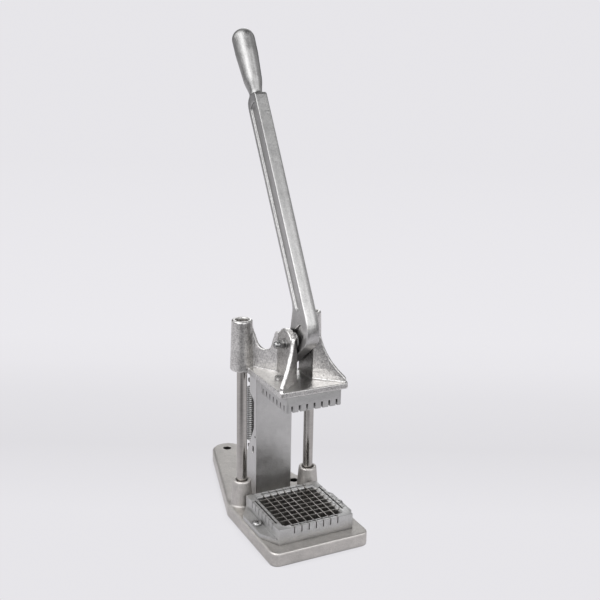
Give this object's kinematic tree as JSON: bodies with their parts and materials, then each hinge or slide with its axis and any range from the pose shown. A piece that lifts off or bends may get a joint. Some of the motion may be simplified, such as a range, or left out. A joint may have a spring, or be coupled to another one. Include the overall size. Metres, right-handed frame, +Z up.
{
  "type": "french fry cutter",
  "caption": "Bench-mounted french fry cutter: a long hand lever drives a toothed pusher down guide rods through a square grid of blades.",
  "frame": {"origin": "middle of the base's underside", "axes": "+Z up, +Y from the blade grid towards the column and the bench holes, +X across"},
  "size_m": [0.127, 0.308, 0.5905],
  "materials": {
    "cast_aluminium": "tumbled grey casting",
    "machined_aluminium": "cast and milled",
    "polished_steel": "ground and polished",
    "zinc_steel": "plated fasteners",
    "dark_steel": "blackened steel",
    "blade_steel": "ground blade strip",
    "spring_steel": "close-wound spring wire",
    "bronze": "sintered bronze"
  },
  "bodies": {
    "stand": {"base_plate": "cast_aluminium", "column": "cast_aluminium", "column_screws": "zinc_steel", "column_pins": "zinc_steel", "guide_rod_left": "polished_steel", "guide_rod_right": "polished_steel", "rod_screws": "zinc_steel", "blade_frame": "cast_aluminium", "blade_frame_screws": "zinc_steel", "blades_lengthwise": "blade_steel", "blades_crosswise": "blade_steel", "blade_lock_rods": "dark_steel", "fulcrum_pin": "polished_steel", "fulcrum_clips": "zinc_steel", "spring_bottom_pin": "dark_steel"},
    "head": {"head_casting": "cast_aluminium", "sleeve_bushes": "bronze", "pusher_block": "machined_aluminium", "pusher_screws": "zinc_steel", "pivot_bolt": "zinc_steel", "pivot_washers": "zinc_steel", "pivot_nut": "zinc_steel"},
    "lever": {"lever": "cast_aluminium", "lever_bush": "bronze", "spring_top_pin": "dark_steel"},
    "roller": {"fulcrum_roller": "bronze"},
    "springs": {"return_spring_left": "spring_steel", "return_spring_right": "spring_steel"}
  },
  "joints": [
    {"name": "head_slide", "type": "slide", "parent": "stand", "child": "head", "axis": [0, 0, -1], "range_m": [0, 0.142], "stiffness_N_per_m": 260, "springref_m": -0.16},
    {"name": "lever_pivot", "type": "hinge", "parent": "head", "child": "lever", "pos_m": [0, -0.0825, 0.2418], "axis": [1, 0, 0], "range_deg": [0, 88]},
    {"name": "spring_stretch", "type": "slide", "parent": "stand", "child": "springs", "axis": [0, -0.4592, 0.8883], "range_m": [0, 0.04081], "deforming": ["return_spring_left", "return_spring_right"]},
    {"name": "roller_spin", "type": "hinge", "parent": "stand", "child": "roller", "pos_m": [0, -0.008, 0.1828], "axis": [1, 0, 0], "continuous": true}
  ],
  "couplings": [
    {"joint": "lever_pivot", "follows": "head_slide", "rad_per_m": 10.816},
    {"joint": "spring_stretch", "follows": "head_slide", "ratio": 0.28729}
  ]
}
